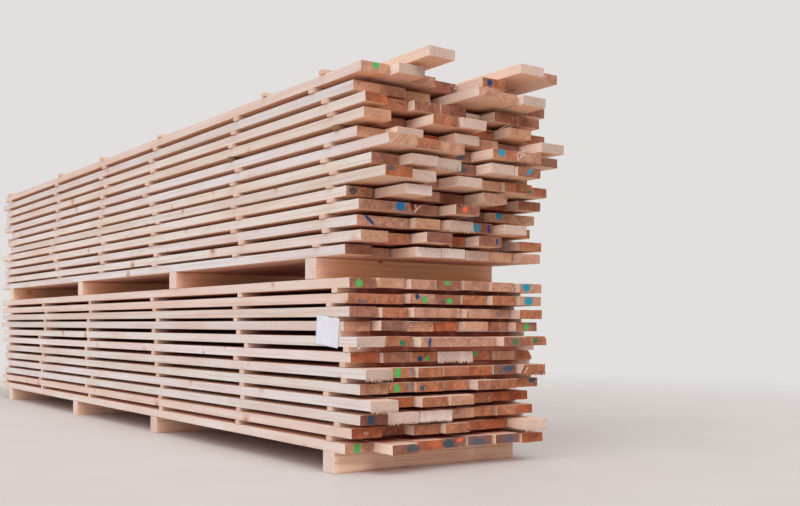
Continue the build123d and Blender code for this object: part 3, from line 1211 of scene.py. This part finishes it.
    def chip(self, board: TimberPiece, depth: Vector) -> None:
        """Break a corner off a board's near end.

        Args:
            board: The board.
            depth: How far the break reaches along, across and down from the corner. The sign across says
                which side the corner is on, and the sign down whether it is the upper or the lower one.
        """
        box = board.box
        corner = Vector((box.high.x, box.low.y if depth.y > 0 else box.high.y,
                         box.high.z if depth.z > 0 else box.low.z))
        reach = Vector((-depth.x, depth.y, -depth.z))
        outward = Vector((-1 / reach.x, -1 / reach.y, -1 / reach.z)).normalized()
        point = corner + Vector((reach.x, 0, 0))
        geometry = board.mesh.verts[:] + board.mesh.edges[:] + board.mesh.faces[:]
        found = bmesh.ops.bisect_plane(board.mesh, geom=geometry, plane_co=point, plane_no=outward,
                                       clear_outer=True)
        rim = [item for item in found["geom_cut"] if isinstance(item, bmesh.types.BMEdge)]
        for face in bmesh.ops.edgeloop_fill(board.mesh, edges=rim)["faces"]:
            face.material_index = END_SLOT

    def wear_down(self, board: TimberPiece, place: int) -> None:
        """Give a board the broken corner, torn edge, rough stretches and slivers that it has.

        Args:
            board: The board.
            place: Its number from the long side.
        """
        here = (self.node, place)
        if here in CHIPS:
            self.chip(board, Vector(CHIPS[here]) * MILLIMETRE)
        if here in TORN_ENDS:
            self.tear(board)
        for stretch in ROUGH_SIDES:
            if (stretch.layer, 1) == here:
                self.roughen(board, stretch)
        for patch in FRAYED_PATCHES:
            if (patch.layer, patch.board) == here:
                self.fray(board, patch)
        for splinter in SPLINTERS:
            if (splinter.layer, splinter.board) == here:
                root, tip = (board.at_end(along * MILLIMETRE, across, up)
                             for along, across, up in (splinter.root, splinter.tip))
                board.add_sliver(root, tip, splinter.half_width * MILLIMETRE, SIDE_SLOT)

    def build(self, node: bpy.types.Object) -> bpy.types.Object:
        """Make the layer's boards.

        Args:
            node: The layer's node in the frame.

        Returns:
            The joined boards.
        """
        timber = JoinedTimber()
        letters = NEAR_ENDS[self.node]
        for place, box in enumerate(solid_boxes(node, 1), 1):
            finish = EndFinish(letters[place - 1])
            board = TimberPiece(box, 0)
            board.ease(self.arris, self.cuts)
            board.sway(self.sway, self.rng)
            board.trim(self.rng.uniform(-self.slant_across, self.slant_across),
                       self.rng.uniform(-self.slant_up, self.slant_up))
            self.wear_down(board, place)
            if self.node != "top_boards":
                board.droop(self.bent_length, self.rng.uniform(-self.highest_bend, self.lowest_bend))
            board.store(self.values(box, place, finish), END_WEAR[finish], self.node not in OPEN_LAYERS)
            timber.take(board)
        piece = timber.finish(f"{self.node}_boards", (self.side, self.end))
        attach(piece, "root")
        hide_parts(self.node)
        return piece


@dataclass
class CrossTimbers:
    """A row of sticks, or one bearer, across the pack.

    The spans give a timber's brightness, and its green and its blue as shares of that.
    """

    node: str
    slot: str
    side: bpy.types.Material
    end: bpy.types.Material
    arris: float
    sway: float
    # Whether its faces inside the pack get painted shade
    covered: bool
    wear: float = 0.2
    cuts: int = 10
    brightness: Span = (0.92, 1.04)
    green_share: Span = (0.96, 1.0)
    blue_share: Span = (0.94, 1.0)

    def build(self, node: bpy.types.Object) -> bpy.types.Object:
        """Make the timbers.

        Args:
            node: Their node in the frame.

        Returns:
            The joined timbers.
        """
        rng = random.Random(self.node)
        timber = JoinedTimber()
        for place, box in enumerate(solid_boxes(node, 0), 1):
            piece = TimberPiece(box, 1)
            piece.ease(self.arris, self.cuts)
            piece.sway(self.sway, rng)
            level = rng.uniform(*self.brightness)
            tint = (level, level * rng.uniform(*self.green_share),
                    level * rng.uniform(*self.blue_share), 1.0)
            values: Dict[str, Sequence[float]] = {
                "tint": BARK_TINT if (self.node, place) in DARK_STICKS else tint,
                "seed": (rng.uniform(*SEED_ACROSS), rng.uniform(*SEED_ALONG), rng.uniform(*SEED_ACROSS)),
            }
            piece.store(values, self.wear, self.covered)
            timber.take(piece)
        joined = timber.finish(f"{self.node}_timber", (self.side, self.end))
        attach(joined, "root")
        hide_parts(self.node)
        return joined


@dataclass
class PaperLabel:
    """The bare sheet of paper on the long side, slightly crinkled."""

    node: str
    finish: bpy.types.Material
    columns: int = 28
    rows: int = 20
    clearance: float = 0.4 * MILLIMETRE
    fold_depth: float = 2.2 * MILLIMETRE
    folds_per_metre: Tuple[float, float] = (26.0, 7.0)
    crease_depth: float = 0.5 * MILLIMETRE
    creases_per_metre: Tuple[float, float] = (70.0, 50.0)
    thickness: float = 0.4 * MILLIMETRE
    tilt: float = math.radians(5.5)

    def build(self) -> bpy.types.Object:
        """Make the sheet.

        Returns:
            The sheet.
        """
        box = Box(*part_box(self.node))
        upright = Matrix.Rotation(math.radians(90), 3, "X")
        tilted = Matrix.Rotation(self.tilt, 3, "Y")
        top = Vector((0.0, 0.0, box.size.z / 2))
        place = (box.middle.x, box.low.y - self.clearance, box.middle.z)
        sheet = bmesh.new()
        bmesh.ops.create_grid(sheet, x_segments=self.columns, y_segments=self.rows, size=0.5)
        bmesh.ops.rotate(sheet, verts=sheet.verts, matrix=upright)
        bmesh.ops.scale(sheet, vec=(box.size.x, 1.0, box.size.z), verts=sheet.verts)
        bmesh.ops.rotate(sheet, verts=sheet.verts, cent=top, matrix=tilted)
        bmesh.ops.translate(sheet, vec=place, verts=sheet.verts)
        for vertex in sheet.verts:
            x, z = vertex.co.x, vertex.co.z
            fold = noise.noise(Vector((x * self.folds_per_metre[0], 0.0, z * self.folds_per_metre[1])))
            crease = noise.noise(Vector((x * self.creases_per_metre[0], 3.0, z * self.creases_per_metre[1])))
            vertex.co.y -= self.fold_depth * (0.5 + 0.5 * fold) + self.crease_depth * crease
        bmesh.ops.solidify(sheet, geom=sheet.faces[:], thickness=self.thickness)
        bmesh.ops.recalc_face_normals(sheet, faces=sheet.faces)
        for face in sheet.faces:
            face.smooth = True
        data = bpy.data.meshes.new("label_sheet")
        sheet.to_mesh(data)
        sheet.free()
        data.materials.append(self.finish)
        piece = add_object("label_sheet", data)
        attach(piece, "root")
        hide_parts(self.node)
        return piece


@dataclass(frozen=True)
class SoftSun:
    """One very soft distant lamp: the way its light goes, its strength, and how wide it looks in degrees."""

    name: str
    direction: Tuple[float, float, float]
    strength: float
    spread: float

    def hang(self) -> None:
        """Add the lamp to the scene."""
        data = bpy.data.lights.new(self.name, "SUN")
        data.energy = self.strength
        data.angle = math.radians(self.spread)
        lamp = add_object(self.name, data)
        lamp.matrix_world = Vector(self.direction).to_track_quat("-Z", "Y").to_matrix().to_4x4()


@dataclass(frozen=True)
class Studio:
    """The plain floor, the soft lights and the camera."""

    camera_place: Vector = Vector((6.7134, -3.0123, 0.6837))
    camera_right: Vector = Vector((0.58339, 0.81218, 0.00485))
    camera_up: Vector = Vector((-0.00329, -0.00361, 0.99999))
    camera_back: Vector = Vector((0.81218, -0.58340, 0.00057))
    focal_length: float = 45.0
    sensor_width: float = 36.0
    shift_up: float = 74 / 800
    farthest_seen: float = 200.0
    floor_reach: float = 60.0
    sky_tone: Colour = linear(238, 226, 220)
    sky_strength: float = 0.58
    suns: Tuple[SoftSun, ...] = (
        SoftSun("window_light", (-0.25, 0.68, -0.7), 0.7, 40.0),
        SoftSun("low_light", (-0.15, 0.95, -0.15), 1.0, 50.0),
        SoftSun("end_light", (-0.7, 0.1, -0.7), 1.55, 40.0),
    )

    def place_camera(self) -> None:
        """Put the camera where the photograph was taken from."""
        data = bpy.data.cameras.new("camera")
        data.lens = self.focal_length
        data.sensor_width = self.sensor_width
        data.shift_y = self.shift_up
        data.clip_end = self.farthest_seen
        camera = add_object("camera", data)
        turn = Matrix((self.camera_right, self.camera_up, self.camera_back)).transposed().to_4x4()
        camera.matrix_world = Matrix.Translation(self.camera_place) @ turn
        bpy.context.scene.camera = camera

    def lay_floor(self) -> None:
        """Lay the floor under the bearers."""
        floor_mesh = bmesh.new()
        bmesh.ops.create_grid(floor_mesh, x_segments=1, y_segments=1, size=self.floor_reach)
        data = bpy.data.meshes.new("floor")
        floor_mesh.to_mesh(data)
        floor_mesh.free()
        data.materials.append(PlainFloor().build())
        add_object("floor", data)

    def light_sky(self) -> None:
        """Light the object evenly from all round, and show the camera a pale background."""
        world = bpy.data.worlds.new("studio")
        bpy.context.scene.world = world
        world.use_nodes = True
        tree = world.node_tree
        tree.nodes.clear()
        output = tree.nodes.new("ShaderNodeOutputWorld")
        background = tree.nodes.new("ShaderNodeBackground")
        tone = tree.nodes.new("ShaderNodeMix")
        tone.data_type = "RGBA"
        tone.inputs[6].default_value = self.sky_tone
        tone.inputs[7].default_value = BACKGROUND
        strength = tree.nodes.new("ShaderNodeMapRange")
        strength.inputs["To Min"].default_value = self.sky_strength
        strength.inputs["To Max"].default_value = 1.0
        camera_ray = tree.nodes.new("ShaderNodeLightPath").outputs["Is Camera Ray"]
        tree.links.new(camera_ray, strength.inputs["Value"])
        tree.links.new(camera_ray, tone.inputs[0])
        tree.links.new(tone.outputs[2], background.inputs["Color"])
        tree.links.new(strength.outputs["Result"], background.inputs["Strength"])
        tree.links.new(background.outputs["Background"], output.inputs["Surface"])

    def build(self) -> None:
        """Set up the whole studio."""
        bpy.context.scene.view_settings.view_transform = "Standard"
        self.place_camera()
        self.lay_floor()
        for sun in self.suns:
            sun.hang()
        self.light_sky()


def report(piece: bpy.types.Object) -> None:
    """Say how many faces a finished piece has."""
    log.info("%s: %d faces", piece.name, len(piece.data.polygons))


def build_boards(nodes: Dict[str, bpy.types.Object]) -> None:
    """Make all layers of boards.

    Args:
        nodes: The nodes of the frame, by name.
    """
    side = SawnSide("board_side").build()
    end = EndGrain().build()
    for name in sorted(NEAR_ENDS):
        report(BoardLayer(name, side, end).build(nodes[name]))


def build_cross_timbers(nodes: Dict[str, bpy.types.Object]) -> None:
    """Make the bearers under both packs and all rows of sticks.

    Args:
        nodes: The nodes of the frame, by name.
    """
    # Sticks take a dark painted shade on their faces inside a pack
    stick = SawnSide("stick_side", pale=linear(226, 204, 192), rosy=linear(216, 184, 162),
                     painted_shade=linear(158, 88, 72), across_grain=True).build()
    bearer_end = SawnSide("bearer_end", pale=linear(226, 211, 207), rosy=linear(218, 197, 188),
                          across_grain=True).build()
    lower_side = SawnSide("lower_bearer_side", pale=linear(248, 221, 198), rosy=linear(240, 202, 176),
                          across_grain=True, knotty=0.65, figure=0.6).build()
    # The bearers between the packs take a warm painted shade on their faces under the upper pack
    upper_side = SawnSide("upper_bearer_side", pale=linear(250, 213, 190), rosy=linear(243, 198, 172),
                          painted_shade=linear(254, 206, 162), across_grain=True, knotty=0.65,
                          figure=0.3).build()
    for name in sorted(nodes):
        if "sticks" in name:
            row = CrossTimbers(name, "sticks", stick, stick, arris=1.2 * MILLIMETRE, sway=0.6 * MILLIMETRE,
                               covered=name != "top_sticks")
            report(row.build(nodes[name]))
        elif "bearer" in name:
            between_packs = name.startswith("upper")
            side = upper_side if between_packs else lower_side
            bearer = CrossTimbers(name, "bearers", side, bearer_end, arris=3.0 * MILLIMETRE,
                                  sway=1.2 * MILLIMETRE, covered=between_packs)
            report(bearer.build(nodes[name]))


def main() -> None:
    """Load the frame, set up the studio, and build each piece in order."""
    logging.basicConfig(level=logging.INFO, format="%(name)s: %(message)s")
    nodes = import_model()["nodes"]
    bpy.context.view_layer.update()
    Studio().build()
    build_boards(nodes)
    build_cross_timbers(nodes)
    report(PaperLabel("paper_label", LabelPaper().build()).build())


if __name__ == "__main__":
    main()
